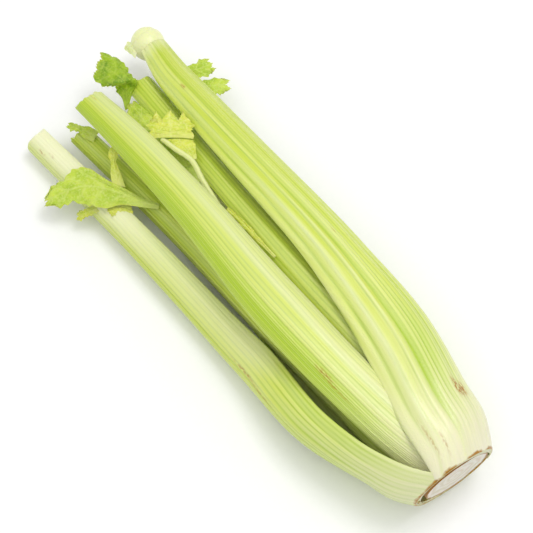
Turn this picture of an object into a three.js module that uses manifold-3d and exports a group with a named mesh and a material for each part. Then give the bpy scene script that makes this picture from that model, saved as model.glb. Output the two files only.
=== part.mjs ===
// A head of celery, trimmed for sale and lying on its side.
// Millimetres. X runs from the cut butt to the stalk tops and +Z is up.
// Every stalk is a leaf stem with a crescent section: a rounded back, a hollow channel and two thin lips.
// At the butt the stalks clasp each other, and each inner one is cut to fit the outer ones.
import * as THREE from "three";
import { mergeVertices } from "three/addons/utils/BufferGeometryUtils.js";
import Module from "manifold-3d";

const wasm = await Module();
wasm.setup();

const GAP = 0.3; // between neighbouring pieces
const LIP = 2; // thickness of a stalk's lips
const HEART_LIP = 1.5;
const BUTT_HEIGHT = 35; // centre of the cut butt above the table
const CROWN_RADIUS = 21; // the solid stem that every stalk grows from
const CROWN_LENGTH = 15;
const CROWN_START = -6; // before the butt is trimmed
const BUTT_SLANT = 7.5; // degrees, so that the right-hand stalks end up a little longer
const LEAF_THICKNESS = 1.2;
const STEM_RADIUS = 1.8; // of the thin stems that carry small leaves
const KNUCKLE = { centre: [334.5, -51.5, 33.5], radii: [11, 10.8, 10.8] }; // swollen joint on one stalk's top

const COLOURS = { stalk: 0xd3de7f, heart: 0xe6e59a, cut: 0xd9cfae, leaf: 0x8bb32a, pale_leaf: 0xcfdd74 };

// Stations along each stalk, from the butt to the trimmed top:
// x, then y and z of the centre of its rounded back, the way the back faces in degrees from +Y towards +Z,
// the back's radius, how far it wraps each way from there in degrees, and the thickness at its middle.
const STALKS = {
  outer_right_stalk: [
    [-6, 0.5, 34.5, 124, 23, 74, 3.5],
    [3, -0.5, 35.3, 125, 28.5, 74, 4.2],
    [12, -3.5, 36.3, 126, 31, 75, 5],
    [36, -8.6, 37.5, 127, 32.4, 77, 6.8],
    [72, -19.5, 36, 128, 32, 77, 9],
    [136, -30, 38, 129.5, 26.3, 74, 10],
    [227, -37.7, 35, 128, 20.7, 76, 10],
    [280, -42, 33, 126, 17.3, 79, 10],
    [306, -45, 32.3, 125, 14.6, 82, 9.5],
    [330, -50.5, 32.5, 125, 11.3, 86, 8.8],
  ],
  outer_left_stalk: [
    [-6, -0.5, 35, 8, 22.5, 58, 3.5],
    [3, 0.8, 35, 6, 27, 57, 4.2],
    [12, 4, 35, 2, 30, 56, 5],
    [36, 10.5, 33.6, -3, 31, 53, 6],
    [72, 24, 27.3, 10, 26, 55, 7.5],
    [136, 30.5, 15.5, 24, 17.5, 76, 8.5],
    [227, 32.5, 12.4, 30, 13.8, 77, 8.7],
    [340, 37.5, 10.4, 38, 10.4, 84, 8.3],
  ],
  under_right_stalk: [
    [-6, 0.5, 35, 238, 22, 56, 3.5],
    [12, -2.5, 34, 238, 29, 57, 5],
    [36, -9.6, 31.7, 238, 29.8, 58, 6],
    [72, -19.5, 27.3, 240, 26.8, 64, 8],
    [136, -29, 21, 245, 20.7, 70, 9],
    [227, -35, 14.4, 250, 14, 80, 9.2],
    [312, -39.5, 9.8, 255, 9.5, 86, 8.4],
  ],
  under_left_stalk: [
    [-6, 0, 35, 300, 21.5, 56, 3.5],
    [12, 1.5, 33.5, 297, 28.5, 56, 5],
    [36, 4.8, 31.7, 292, 29.3, 58, 6],
    [72, 7.5, 26.3, 288, 26, 66, 8],
    [136, 6, 19.6, 285, 19.3, 76, 9],
    [227, -0.5, 13.7, 275, 13.4, 80, 9.2],
    [306, -3.5, 10.1, 270, 9.8, 86, 8.6],
  ],
  top_stalk: [
    [8, 1, 36, 80, 20.4, 60, 4],
    [36, 7.7, 42.3, 82, 18.7, 66, 6.5],
    [72, 11.7, 46.8, 84, 18.5, 66, 8.5],
    [136, 13, 52, 85, 18, 72, 9.5],
    [227, 6, 46.3, 85, 14.2, 78, 9.8],
    [285, 4.7, 42.6, 86, 12.1, 84, 10],
    [325, 5.5, 40.4, 88, 10.2, 88, 9],
  ],
  inner_right_stalk: [
    [10, -1.9, 37, 130, 17, 55, 4],
    [36, -6.7, 39.4, 125, 19.2, 60, 6],
    [72, -9.7, 39, 120, 18.5, 66, 8],
    [136, -13, 38, 115, 15, 72, 9],
    [227, -22, 31, 110, 10.6, 80, 7.8],
    [322, -30, 25.5, 105, 10.2, 86, 7.6],
  ],
  inner_left_stalk: [
    [10, 2.8, 34.2, 20, 16.6, 52, 4],
    [36, 6.7, 34.6, 20, 18.3, 58, 5.5],
    [72, 9.7, 32.1, 25, 16, 64, 7],
    [136, 12, 27, 35, 13.5, 72, 8],
    [227, 12.5, 17.5, 45, 10.1, 80, 8.2],
    [324, 16.5, 13, 55, 8.2, 86, 7],
  ],
};

const HEART_STALKS = {
  heart_stalk_lower: [
    [17, -1, 33, 240, 9, 70, 4],
    [72, -1, 31, 245, 8.5, 72, 5],
    [136, -2, 27, 250, 7.4, 80, 5],
    [200, -9, 24.5, 255, 7.2, 84, 4.6],
    [268, -15, 20.5, 258, 6.2, 86, 4.2],
  ],
  heart_stalk_middle: [
    [17, 1.5, 36, 60, 8.5, 68, 4],
    [72, 2, 36, 62, 8, 72, 5],
    [136, 1, 36, 65, 6.6, 80, 5],
    [242, -5, 31, 80, 4.6, 86, 4.1],
  ],
  heart_stalk_upper: [
    [20, 4, 39.5, 80, 9.5, 70, 3.5],
    [36, 7.5, 42, 82, 9.5, 70, 4.5],
    [72, 11.5, 46.5, 84, 8.8, 74, 5],
    [136, 12.8, 51, 85, 7.4, 80, 5],
    [222, 5.5, 43.5, 85, 4.3, 86, 4.1],
  ],
};

// The points that each thin stem passes through.
const STEMS = {
  heart_stem: [
    [182, 1, 39],
    [198, -4.5, 42.5],
    [215, -7, 45.3],
    [232, -10.5, 46.3],
    [246, -14, 46.5],
    [258, -11.5, 47],
    [269, -10, 46.5],
  ],
  green_leaf_stem: [
    [218, -4.5, 33],
    [240, -7.5, 29.5],
    [270, -12, 26],
    [290, -15, 24.5],
    [301, -16, 25],
  ],
};

// Rows across each leaf, from its joint to its tip: the middle of the row, the vector from there to its
// right-hand edge, and how far the midrib stands up between the two edges.
const LEAVES = {
  leaf_green: [
    [309, -13, 27, -0.2, -1.3, 0, 0.3],
    [314, -17, 31, -1.6, -2.6, 0, 1],
    [317, -20, 34, -3.2, -6.4, -1, 3],
    [317.5, -20, 38, -2.8, -8.7, -1, 4.5],
    [322, -19, 39.5, -0.9, -9.4, 0.5, 4.5],
    [330, -18, 39, 3, -10.8, 1, 4],
    [342, -16, 36.5, 7.6, -10.4, 0.5, 3],
  ],
  leaf_heart_face: [
    [265, -14, 47.5, -9.1, -9.9, 0.5, 1.5],
    [270, -18, 50, -10.2, -11.4, 0, 2],
    [279, -24, 51.5, -9.6, -12, -1, 2],
  ],
  leaf_heart_fold: [
    [246, -15.5, 44.5, -0.5, -2.1, 0, 0.3],
    [254, -17, 46, -3.1, -4.6, 0, 1],
    [262.5, -17, 46.5, -6.8, -7.5, 0, 1],
  ],
  leaf_heart_under: [
    [236, -11, 35, 0.2, -2.9, 0, 1],
    [264, -10, 34, 0.9, -8, 0, 2],
    [290, -13, 32, -0.4, -8.6, 0, 3],
    [310, -17, 29.5, -0.1, -4, 0, 1],
  ],
  leaf_left_broad: [
    [243, 15.5, 27, 1.2, -1.3, 0, 0.8],
    [254, 23.5, 28.5, 3.2, -2, 0, 1.2],
    [267, 30, 28.5, 7.9, -2.8, 0.2, 1.8],
    [279, 37, 26.5, 14.2, -5.3, 0.5, 2.6],
    [287, 45, 24, 12.6, -3.7, 0.5, 2.2],
    [293, 56, 20, 8.8, -2.9, 0.5, 1.5],
    [296.5, 65.5, 15.5, 2.8, -2.2, 0.5, 0.4],
  ],
  leaf_left_small: [
    [271, 43, 19, 2.4, 0.1, 0, 0.3],
    [275, 50, 14.5, 3.6, -1.6, 0.5, 0.5],
    [278.5, 54.5, 10, 2.4, -2.4, 0.5, 0.5],
  ],
  leaf_left_lobe: [
    [261, 32, 24, -4.5, -5.1, 0, 0.6],
    [258, 34.5, 23.5, -6, -5.8, 0, 0.8],
    [254.5, 37, 21.8, -4, -4.2, 0, 0.5],
  ],
  leaf_bud: [
    [269.5, 25.5, 27, -2.6, -3, 0, 1],
    [277, 22, 31, -2.4, -2.1, 0, 1],
    [282, 19, 34, -1.1, -1.3, 0, 0.6],
    [285, 16.5, 37, -2.2, -2.5, 0, 0.8],
    [288, 13, 40, -1.1, -1.3, 0, 0.3],
  ],
  leaf_tip_left: [
    [309, 12.5, 22, 1.8, -3.9, 0, 1],
    [318, 17, 23.5, 0.8, -3.6, 0.5, 1.5],
    [328, 21.5, 22, 0.9, -2.9, 0, 0.8],
  ],
  leaf_right_upper: [
    [308, -50.8, 13, 1, -0.2, 0, 0.3],
    [307, -57, 21.5, 6.6, -1.4, 0, 1],
    [302, -67, 25, 7.2, -2.2, 0, 1.8],
    [299.5, -76.5, 24.5, 7.4, -0.8, 0.5, 1.5],
  ],
  leaf_right_lower: [
    [297, -51.2, 11.5, 1, -0.2, 0, 0.3],
    [293, -58, 19.5, 5.2, -1, 0, 1],
    [288, -67, 22, 6.8, -3.1, 0, 1.5],
    [281.5, -76, 21.5, 5.4, -3.7, 0.5, 0.8],
  ],
  knuckle_flap: [
    [332, -40.5, 35, 1.6, -2.6, 0, 0.6],
    [337, -41, 35, 2, -3, 0.5, 1],
    [343, -40, 33.5, 1.2, -3, 0.5, 0.5],
  ],
  leaf_inner: [
    [163, -8.2, 50.3, 0, -0.8, 0.1, 0.2],
    [178, -8.5, 49, 0.3, -2, 0.3, 0.5],
    [193, -8.8, 48.5, 0.3, -2.4, 0.3, 0.6],
    [207, -8.2, 48, 0.2, -1.8, 0.2, 0.4],
  ],
};

const ACROSS_STALK = [-1, -0.94, -0.75, -0.45, -0.15, 0.15, 0.45, 0.75, 0.94, 1]; // from lip to lip
const ACROSS_LEAF = [-1, -0.9, -0.45, 0, 0.45, 0.9, 1]; // from edge to edge

// A smooth curve through the rows, at the place between row floor(at) and the next one.
function between(rows, at, lengthOf) {
  const i = Math.min(Math.floor(at), rows.length - 2);
  const t = at - i;
  const span = lengthOf(i);
  const rise = (k, c) => (rows[k + 1][c] - rows[k][c]) / lengthOf(k);
  const slope = (k, c) => {
    if (k === 0) return rise(0, c);
    if (k === rows.length - 1) return rise(k - 1, c);
    const [before, after] = [lengthOf(k - 1), lengthOf(k)];
    return (rise(k - 1, c) * after + rise(k, c) * before) / (before + after);
  };
  return rows[i].map((start, c) => {
    const end = rows[i + 1][c];
    const ease = t * t * (3 - 2 * t);
    const leave = slope(i, c) * t * (1 - t) ** 2;
    const arrive = slope(i + 1, c) * t * t * (t - 1);
    return start + (end - start) * ease + span * (leave + arrive);
  });
}

function stationAt(rows, x) {
  let i = 0;
  while (i < rows.length - 2 && x > rows[i + 1][0]) i++;
  const lengthOf = (k) => rows[k + 1][0] - rows[k][0];
  return between(rows, i + Math.min((x - rows[i][0]) / lengthOf(i), 1), lengthOf);
}

// A closed mesh from rings of equal length. A ring starts at one tip, runs to the other tip and comes back,
// so each end closes with a strip between its two sides.
function loft(rings) {
  const n = rings[0].length;
  const index = [];
  for (let r = 0; r + 1 < rings.length; r++)
    for (let k = 0; k < n; k++) {
      const a = r * n + k;
      const b = r * n + ((k + 1) % n);
      index.push(a, b, a + n, b, b + n, a + n);
    }
  const close = (start, first) => {
    for (let k = 0; k < n / 2; k++) {
      const [a, b] = [start + k, start + k + 1];
      const [c, d] = [start + ((n - k) % n), start + n - k - 1];
      const pair = [[a, c, b], [b, c, d]].filter((t) => new Set(t).size === 3);
      for (const [p, q, s] of pair) index.push(...(first ? [p, q, s] : [p, s, q]));
    }
  };
  close(0, true);
  close((rings.length - 1) * n, false);
  const made = new THREE.BufferGeometry();
  const places = rings.flat().flatMap((p) => p.toArray());
  made.setAttribute("position", new THREE.Float32BufferAttribute(places, 3));
  made.setIndex(index);
  return made;
}

// One crescent ring of a stalk at x. grow makes it that much bigger all round.
function crescent(rows, x, lip, grow) {
  const [, y, z, facing, radius, wrap, middle] = stationAt(rows, x);
  const reach = wrap + THREE.MathUtils.radToDeg(grow / radius);
  const point = (u, inner) => {
    const full = lip + (middle - lip) * Math.cos((u * Math.PI) / 2) ** 2 + 2 * grow;
    const thickness = full * Math.sqrt(1 - Math.abs(u) ** 10);
    const r = radius + grow - (full - thickness) / 2 - (inner ? thickness : 0);
    const angle = THREE.MathUtils.degToRad(facing + u * reach);
    return new THREE.Vector3(x, y + r * Math.cos(angle), z + r * Math.sin(angle));
  };
  const back = ACROSS_STALK.map((u) => point(u, false));
  const channel = ACROSS_STALK.slice(1, -1).reverse().map((u) => point(u, true));
  return [...back, ...channel];
}

function stalkGeometry(rows, { lip = LIP, steps = 18, grow = 0 } = {}) {
  const first = rows[0][0];
  const last = rows[rows.length - 1][0];
  const rings = [];
  for (let k = 0; k <= steps; k++) {
    const x = first + (last - first) * (k / steps) ** 1.45; // closer together where the stalk bends most
    rings.push(crescent(rows, x, lip, grow));
  }
  rings[0].forEach((p) => (p.x -= grow));
  rings[steps].forEach((p) => (p.x += grow));
  return loft(rings);
}

// A leaf blade: the same kind of ring, flat and thin, laid along its rows.
function leafGeometry(rows, { steps = 6, grow = 0 } = {}) {
  const last = rows.length - 1;
  const surface = (u, v) => {
    const [x, y, z, dx, dy, dz, rib] = between(rows, Math.min(Math.max(v, 0), 1) * last, () => 1);
    const reach = u * (1 + grow / Math.hypot(dx, dy, dz));
    return new THREE.Vector3(x + dx * reach, y + dy * reach, z + dz * reach + rib * (1 - u * u));
  };
  const normal = (u, v) => {
    const along = surface(u, v + 0.02).sub(surface(u, v - 0.02));
    return surface(u + 0.02, v).sub(surface(u - 0.02, v)).cross(along).normalize();
  };
  const rings = [];
  for (let k = 0; k <= steps; k++) {
    const v = k / steps;
    const side = (u, way) => {
      const half = (LEAF_THICKNESS / 2 + grow) * Math.sqrt(1 - Math.abs(u) ** 8);
      return surface(u, v).addScaledVector(normal(u, v), way * half);
    };
    const over = ACROSS_LEAF.map((u) => side(u, 1));
    const under = ACROSS_LEAF.slice(1, -1).reverse().map((u) => side(u, -1));
    rings.push([...over, ...under]);
  }
  return loft(rings);
}

function stemGeometry(points, radius, sides = 8) {
  const curve = new THREE.CatmullRomCurve3(points.map((p) => new THREE.Vector3(...p)));
  const rings = [];
  for (let k = 0; k <= 12; k++) {
    const along = curve.getTangentAt(k / 12);
    const across = new THREE.Vector3(0, 0, 1).cross(along).normalize();
    const up = along.clone().cross(across);
    const ring = [];
    for (let s = 0; s < sides; s++) {
      const angle = (2 * Math.PI * s) / sides;
      const out = across.clone().multiplyScalar(Math.cos(angle)).addScaledVector(up, Math.sin(angle));
      ring.push(curve.getPointAt(k / 12).addScaledVector(out, radius));
    }
    rings.push(ring);
  }
  return loft(rings);
}

function crownGeometry(grow = 0) {
  const profile = [
    [0, CROWN_START - grow],
    [CROWN_RADIUS + grow, CROWN_START - grow],
    [CROWN_RADIUS + grow, CROWN_LENGTH * 0.35],
    [CROWN_RADIUS * 0.8 + grow, CROWN_LENGTH * 0.75],
    [CROWN_RADIUS * 0.45 + grow, CROWN_LENGTH + grow],
    [0, CROWN_LENGTH + grow],
  ].map((p) => new THREE.Vector2(...p));
  return new THREE.LatheGeometry(profile, 28).rotateZ(-Math.PI / 2).translate(0, 0, BUTT_HEIGHT);
}

function knuckleGeometry(grow = 0) {
  const made = new THREE.SphereGeometry(1, 16, 10);
  return made.scale(...KNUCKLE.radii.map((r) => r + grow)).translate(...KNUCKLE.centre);
}

function toSolid(geometry) {
  const bare = geometry.clone();
  for (const name of ["normal", "uv"]) bare.deleteAttribute(name);
  const merged = mergeVertices(bare, 1e-4);
  const mesh = new wasm.Mesh({
    numProp: 3,
    vertProperties: merged.attributes.position.array,
    triVerts: new Uint32Array(merged.index.array),
  });
  return new wasm.Manifold(mesh);
}

function toGeometry(solid) {
  const mesh = solid.getMesh();
  const made = new THREE.BufferGeometry();
  made.setAttribute("position", new THREE.BufferAttribute(mesh.vertProperties, 3));
  made.setIndex(new THREE.BufferAttribute(mesh.triVerts, 1));
  return made;
}

// What is left of a piece once its neighbours are taken away, without any sliver that comes loose.
function carve(solid, cutters) {
  const left = cutters.reduce((rest, cutter) => rest.subtract(cutter), solid);
  return left.decompose().reduce((a, b) => (a.volume() > b.volume() ? a : b));
}

const head = new THREE.Group();
const taken = []; // every piece so far, grown by the gap

// The knife's cut across the butt.
function trimmed(solid) {
  const slant = THREE.MathUtils.degToRad(BUTT_SLANT);
  return solid.trimByPlane([Math.cos(slant), -Math.sin(slant), 0], 0);
}

function add(name, colour, geometryOf) {
  const solid = trimmed(carve(toSolid(geometryOf(0)), taken));
  const material = new THREE.MeshStandardMaterial({ color: colour, roughness: 0.5, metalness: 0 });
  const mesh = new THREE.Mesh(toGeometry(solid), material);
  mesh.name = name;
  head.add(mesh);
  taken.push(toSolid(geometryOf(GAP)));
}

add("crown", COLOURS.cut, crownGeometry);
for (const [name, rows] of Object.entries(STALKS))
  add(name, COLOURS.stalk, (grow) => stalkGeometry(rows, { grow }));
for (const [name, rows] of Object.entries(HEART_STALKS))
  add(name, COLOURS.heart, (grow) => stalkGeometry(rows, { lip: HEART_LIP, steps: 10, grow }));
add("knuckle", COLOURS.heart, knuckleGeometry);
for (const [name, points] of Object.entries(STEMS))
  add(name, COLOURS.heart, (grow) => stemGeometry(points, STEM_RADIUS + grow));
for (const [name, rows] of Object.entries(LEAVES)) {
  const colour = name === "leaf_green" ? COLOURS.leaf : COLOURS.pale_leaf;
  add(name, colour, (grow) => leafGeometry(rows, { grow }));
}

// Rests on Z = 0 with the box of the whole head centred on the origin.
const box = new THREE.Box3().setFromObject(head);
const middle = box.getCenter(new THREE.Vector3());
for (const mesh of head.children) mesh.geometry.translate(-middle.x, -middle.y, -box.min.z);

export default head;
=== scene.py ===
# A head of celery, trimmed for sale and lying on its side on a pale studio floor.
import math

import bmesh
import bpy
import numpy as np
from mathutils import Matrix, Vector


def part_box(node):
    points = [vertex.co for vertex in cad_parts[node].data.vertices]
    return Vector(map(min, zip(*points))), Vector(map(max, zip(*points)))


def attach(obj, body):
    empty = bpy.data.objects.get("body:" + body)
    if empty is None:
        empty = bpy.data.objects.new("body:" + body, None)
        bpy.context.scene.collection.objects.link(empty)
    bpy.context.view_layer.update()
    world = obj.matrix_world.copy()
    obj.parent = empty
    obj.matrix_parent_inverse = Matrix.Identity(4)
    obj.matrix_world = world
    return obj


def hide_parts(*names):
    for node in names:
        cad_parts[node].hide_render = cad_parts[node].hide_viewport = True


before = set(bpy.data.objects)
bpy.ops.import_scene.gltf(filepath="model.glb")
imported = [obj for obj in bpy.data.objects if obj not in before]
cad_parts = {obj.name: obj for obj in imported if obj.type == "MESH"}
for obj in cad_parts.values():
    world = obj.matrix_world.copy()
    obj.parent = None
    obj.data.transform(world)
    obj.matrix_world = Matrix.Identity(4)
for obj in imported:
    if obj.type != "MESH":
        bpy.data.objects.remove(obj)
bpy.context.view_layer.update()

MM = 0.001

# ---------------------------------------------------------------- sizes, in millimetres
LIP = 2.0  # thickness of a stalk's lips
HEART_LIP = 1.5
CROWN_RADIUS = 21.0  # the solid stem that every stalk grows from
CROWN_LENGTH = 15.0
BUTT_HEIGHT = 35.0  # centre of the cut butt above the table
BUTT_SLANT = math.tan(math.radians(7.5))  # of the knife's cut across the butt
STEM_RADIUS = 1.75
LEAF_THICKNESS = 0.5
KNUCKLE_CENTRE = (334.5, -51.5, 33.5)
KNUCKLE_RADII = (11, 10.8, 10.8)
STRING_HEIGHT = 0.05  # of the fine strings, three to a rib
RIB_WANDER = 0.03  # share of a stalk's width that its ribs stray
SKIN_LENGTH = 340.0  # from the butt, over which the skin's colour changes
CUT_SINK = 0.7  # how far a cut face lies below its rim
STALK_STEP = 1.8  # length of the mesh's faces along a stalk
HEART_STEP = 2.4
END_ROWS = np.array([0, 0.12, 0.4, 0.9, 1.6, 2.6])  # rows of the mesh from each end of a stalk
MIDDLE_FROM = 3.8  # where the even rows begin
LIP_COLUMNS = np.array([1, 0.997, 0.988, 0.972, 0.95])  # columns beside each lip, which is at 1
MIDDLE_TO = 0.93  # where the even columns end
STEM_POINTS = 60  # along each stem's path
LEAF_ROWS, LEAF_COLUMNS = 97, 49
KNUCKLE_ROWS, KNUCKLE_COLUMNS = 72, 96
DISC_RINGS, DISC_COLUMNS = 40, 120
STALK_SEED, LEAF_SEED, KNUCKLE_SEED, DISC_SEED = 100, 300, 11, 21

# The head's own axes start at the middle of the cut butt. X runs up the stalks.
crown_low, crown_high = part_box("crown")
ORIGIN = np.array([
    crown_high.x / MM - CROWN_LENGTH,
    (crown_low.y + crown_high.y) / 2 / MM,
    (crown_low.z + crown_high.z) / 2 / MM - BUTT_HEIGHT,
])

# Stations along each stalk, from the butt to the trimmed top:
# x, then y and z of the centre of its rounded back, the way the back faces in degrees from +Y towards +Z,
# the back's radius, how far it wraps each way from there in degrees, and the thickness at its middle.
STALKS = {
    "outer_right_stalk": [
        [-6, 0.5, 34.5, 124, 23, 74, 3.5],
        [3, -0.5, 35.3, 125, 28.5, 74, 4.2],
        [12, -3.5, 36.3, 126, 31, 75, 5],
        [36, -8.6, 37.5, 127, 32.4, 77, 6.8],
        [72, -19.5, 36, 128, 32, 77, 9],
        [136, -30, 38, 129.5, 26.3, 74, 10],
        [227, -37.7, 35, 128, 20.7, 76, 10],
        [280, -42, 33, 126, 17.3, 79, 10],
        [306, -45, 32.3, 125, 14.6, 82, 9.5],
        [330, -50.5, 32.5, 125, 11.3, 86, 8.8],
    ],
    "outer_left_stalk": [
        [-6, -0.5, 35, 8, 22.5, 58, 3.5],
        [3, 0.8, 35, 6, 27, 57, 4.2],
        [12, 4, 35, 2, 30, 56, 5],
        [36, 10.5, 33.6, -3, 31, 53, 6],
        [72, 24, 27.3, 10, 26, 55, 7.5],
        [136, 30.5, 15.5, 24, 17.5, 76, 8.5],
        [227, 32.5, 12.4, 30, 13.8, 77, 8.7],
        [340, 37.5, 10.4, 38, 10.4, 84, 8.3],
    ],
    "under_right_stalk": [
        [-6, 0.5, 35, 238, 22, 56, 3.5],
        [12, -2.5, 34, 238, 29, 57, 5],
        [36, -9.6, 31.7, 238, 29.8, 58, 6],
        [72, -19.5, 27.3, 240, 26.8, 64, 8],
        [136, -29, 21, 245, 20.7, 70, 9],
        [227, -35, 14.4, 250, 14, 80, 9.2],
        [312, -39.5, 9.8, 255, 9.5, 86, 8.4],
    ],
    "under_left_stalk": [
        [-6, 0, 35, 300, 21.5, 56, 3.5],
        [12, 1.5, 33.5, 297, 28.5, 56, 5],
        [36, 4.8, 31.7, 292, 29.3, 58, 6],
        [72, 7.5, 26.3, 288, 26, 66, 8],
        [136, 6, 19.6, 285, 19.3, 76, 9],
        [227, -0.5, 13.7, 275, 13.4, 80, 9.2],
        [306, -3.5, 10.1, 270, 9.8, 86, 8.6],
    ],
    "top_stalk": [
        [8, 1, 36, 80, 20.4, 60, 4],
        [36, 7.7, 42.3, 82, 18.7, 66, 6.5],
        [72, 11.7, 46.8, 84, 18.5, 66, 8.5],
        [136, 13, 52, 85, 18, 72, 9.5],
        [227, 6, 46.3, 85, 14.2, 78, 9.8],
        [285, 4.7, 42.6, 86, 12.1, 84, 10],
        [325, 5.5, 40.4, 88, 10.2, 88, 9],
    ],
    "inner_right_stalk": [
        [10, -1.9, 37, 130, 17, 55, 4],
        [36, -6.7, 39.4, 125, 19.2, 60, 6],
        [72, -9.7, 39, 120, 18.5, 66, 8],
        [136, -13, 38, 115, 15, 72, 9],
        [227, -22, 31, 110, 10.6, 80, 7.8],
        [322, -30, 25.5, 105, 10.2, 86, 7.6],
    ],
    "inner_left_stalk": [
        [10, 2.8, 34.2, 20, 16.6, 52, 4],
        [36, 6.7, 34.6, 20, 18.3, 58, 5.5],
        [72, 9.7, 32.1, 25, 16, 64, 7],
        [136, 12, 27, 35, 13.5, 72, 8],
        [227, 12.5, 17.5, 45, 10.1, 80, 8.2],
        [324, 16.5, 13, 55, 8.2, 86, 7],
    ],
    "heart_stalk_lower": [
        [17, -1, 33, 240, 9, 70, 4],
        [72, -1, 31, 245, 8.5, 72, 5],
        [136, -2, 27, 250, 7.4, 80, 5],
        [200, -9, 24.5, 255, 7.2, 84, 4.6],
        [268, -15, 20.5, 258, 6.2, 86, 4.2],
    ],
    "heart_stalk_middle": [
        [17, 1.5, 36, 60, 8.5, 68, 4],
        [72, 2, 36, 62, 8, 72, 5],
        [136, 1, 36, 65, 6.6, 80, 5],
        [242, -5, 31, 80, 4.6, 86, 4.1],
    ],
    "heart_stalk_upper": [
        [20, 4, 39.5, 80, 9.5, 70, 3.5],
        [36, 7.5, 42, 82, 9.5, 70, 4.5],
        [72, 11.5, 46.5, 84, 8.8, 74, 5],
        [136, 12.8, 51, 85, 7.4, 80, 5],
        [222, 5.5, 43.5, 85, 4.3, 86, 4.1],
    ],
}

EVEN = [(-1, 1), (1, 1)]  # ribs spread evenly from lip to lip

# How each stalk's skin is ribbed: ribs across its back, their height, the columns of the mesh between its
# lips, and where the ribs crowd together, as pairs of a place from lip to lip and a density there.
RIBS = {
    "outer_right_stalk": (25, 0.26, 190, [(-1, 0.35), (-0.4, 0.5), (-0.3, 1), (0.5, 1.2), (1, 1)]),
    "outer_left_stalk": (16, 0.32, 128, [(-1, 1.5), (-0.4, 0.8), (0.3, 0.7), (1, 1.2)]),
    "under_right_stalk": (16, 0.35, 110, EVEN),
    "under_left_stalk": (16, 0.35, 110, EVEN),
    "top_stalk": (22, 0.27, 150, [(-1, 1.6), (-0.45, 1.7), (-0.25, 0.9), (0.2, 0.6), (1, 0.8)]),
    "inner_right_stalk": (12, 0.32, 104, EVEN),
    "inner_left_stalk": (12, 0.32, 104, EVEN),
    "heart_stalk_lower": (8, 0.2, 56, EVEN),
    "heart_stalk_middle": (8, 0.2, 56, EVEN),
    "heart_stalk_upper": (8, 0.2, 56, EVEN),
}

# Broad folds that run the whole length of a stalk: place from lip to lip, width and height.
FOLDS = {
    "outer_right_stalk": [
        (-0.8, 0.05, -0.4), (-0.66, 0.04, 0.6), (-0.55, 0.035, -0.6), (-0.45, 0.035, 0.8),
        (-0.36, 0.04, -0.8), (-0.24, 0.04, 0.4), (-0.12, 0.03, -0.6), (0, 0.05, 0.3),
        (0.12, 0.03, -0.4), (0.3, 0.05, 0.25), (0.45, 0.04, -0.3),
    ],
    "top_stalk": [
        (-0.62, 0.05, -0.25), (-0.3, 0.05, -0.35), (-0.1, 0.08, 0.35), (0.1, 0.05, -0.35), (0.3, 0.1, 0.3),
        (0.55, 0.06, -0.2),
    ],
    "outer_left_stalk": [
        (-0.6, 0.06, -0.25), (-0.3, 0.1, 0.3), (-0.1, 0.05, -0.4), (0.1, 0.08, 0.3), (0.3, 0.06, -0.35),
        (0.6, 0.1, 0.25),
    ],
}

# How far each trimmed top leans back for every millimetre towards +Y and towards +Z.
TOP_CUTS = {
    "outer_right_stalk": (0, 0),
    "outer_left_stalk": (0.05, -0.1),
    "under_right_stalk": (0.1, 0.15),
    "under_left_stalk": (0.1, 0.2),
    "top_stalk": (0.1, -0.25),
    "inner_right_stalk": (0.3, -0.2),
    "inner_left_stalk": (0.1, -0.3),
    "heart_stalk_lower": (0, 0.3),
    "heart_stalk_middle": (0, 0.3),
    "heart_stalk_upper": (0, -0.3),
}

# How round the rim of each trimmed top has worn, in millimetres.
TOP_ROUNDING = {"outer_right_stalk": 3.0, "outer_left_stalk": 3.2, "top_stalk": 1.8}

# How torn each trimmed top is, in millimetres.
TOP_TEAR = {"inner_right_stalk": 2.5, "top_stalk": 1.6, "outer_left_stalk": 0.8, "inner_left_stalk": 2.0}

# Marks on the skin: x, place from lip to lip, half length, half width and strength.
MARKS = {
    "outer_right_stalk": [
        (31, 0.1, 3.5, 3.5, 1.7), (35, 0.02, 4, 1.5, 1.4), (150, -0.2, 2, 0.5, 0.6),
        (288, -0.45, 1.6, 1, 0.9), (20, -0.75, 9, 1, 0.5), (14, -0.6, 6, 0.8, 0.5),
    ],
    "top_stalk": [(87, -0.42, 6, 1.2, 0.9), (76, -0.5, 10, 0.8, 0.6), (318, 0.1, 3, 0.6, 0.5)],
    "outer_left_stalk": [
        (325, 0.1, 2, 1, 0.8), (318, 0.3, 1.6, 0.8, 0.7),
        (128, 0.05, 9, 1.2, 0.9), (112, -0.05, 9, 1.2, 0.8),
    ],
}

# The points that each thin stem passes through.
STEMS = {
    "heart_stem": [
        [182, 1, 39],
        [198, -4.5, 42.5],
        [215, -7, 45.3],
        [232, -10.5, 46.3],
        [246, -14, 46.5],
        [258, -11.5, 47],
        [269, -10, 46.5],
    ],
    "green_leaf_stem": [
        [218, -4.5, 33],
        [240, -7.5, 29.5],
        [270, -12, 26],
        [290, -15, 24.5],
        [301, -16, 25],
    ],
}

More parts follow.
